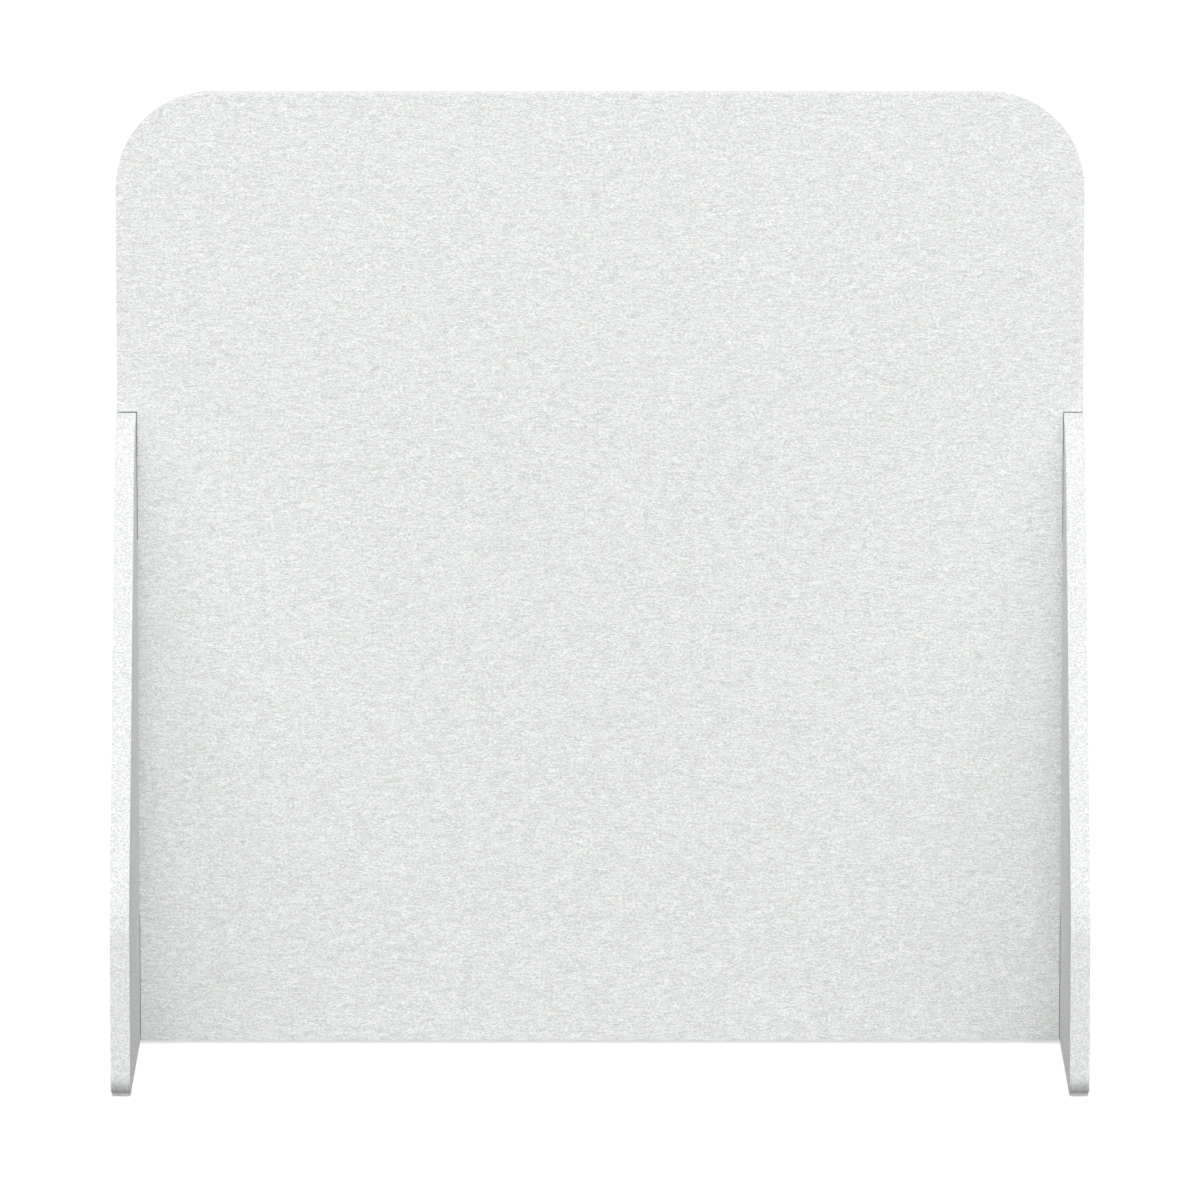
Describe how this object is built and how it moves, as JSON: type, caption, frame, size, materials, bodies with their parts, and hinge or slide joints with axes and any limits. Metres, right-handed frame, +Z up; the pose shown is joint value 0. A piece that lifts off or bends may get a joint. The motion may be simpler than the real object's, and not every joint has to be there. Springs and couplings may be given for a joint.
{
  "type": "acoustic divider screen",
  "caption": "Free-standing acoustic screen: a felt panel with rounded top corners slotted into tapering felt side feet on low glides.",
  "frame": {"origin": "on the floor, at the centre of the screen's footprint", "axes": "+X along the screen, +Y towards the back, +Z up; the picture looks along +Y"},
  "size_m": [1.2, 0.7, 1.2],
  "materials": {
    "panel_felt": "pale grey marled pressed PET felt board",
    "foot_felt": "pale grey marled pressed PET felt board, cut edge",
    "glide_plastic": "matte light grey moulded plastic"
  },
  "bodies": {
    "screen": {"screen_panel": "panel_felt"},
    "left_side": {"left_foot": "foot_felt", "left_front_glide": "glide_plastic", "left_rear_glide": "glide_plastic"},
    "right_side": {"right_foot": "foot_felt", "right_front_glide": "glide_plastic", "right_rear_glide": "glide_plastic"}
  },
  "joints": [
    {"name": "left_foot_pull", "type": "slide", "parent": "screen", "child": "left_side", "axis": [-1, 0, 0], "range_m": [0, 0.04]},
    {"name": "right_foot_pull", "type": "slide", "parent": "screen", "child": "right_side", "axis": [1, 0, 0], "range_m": [0, 0.04]}
  ]
}
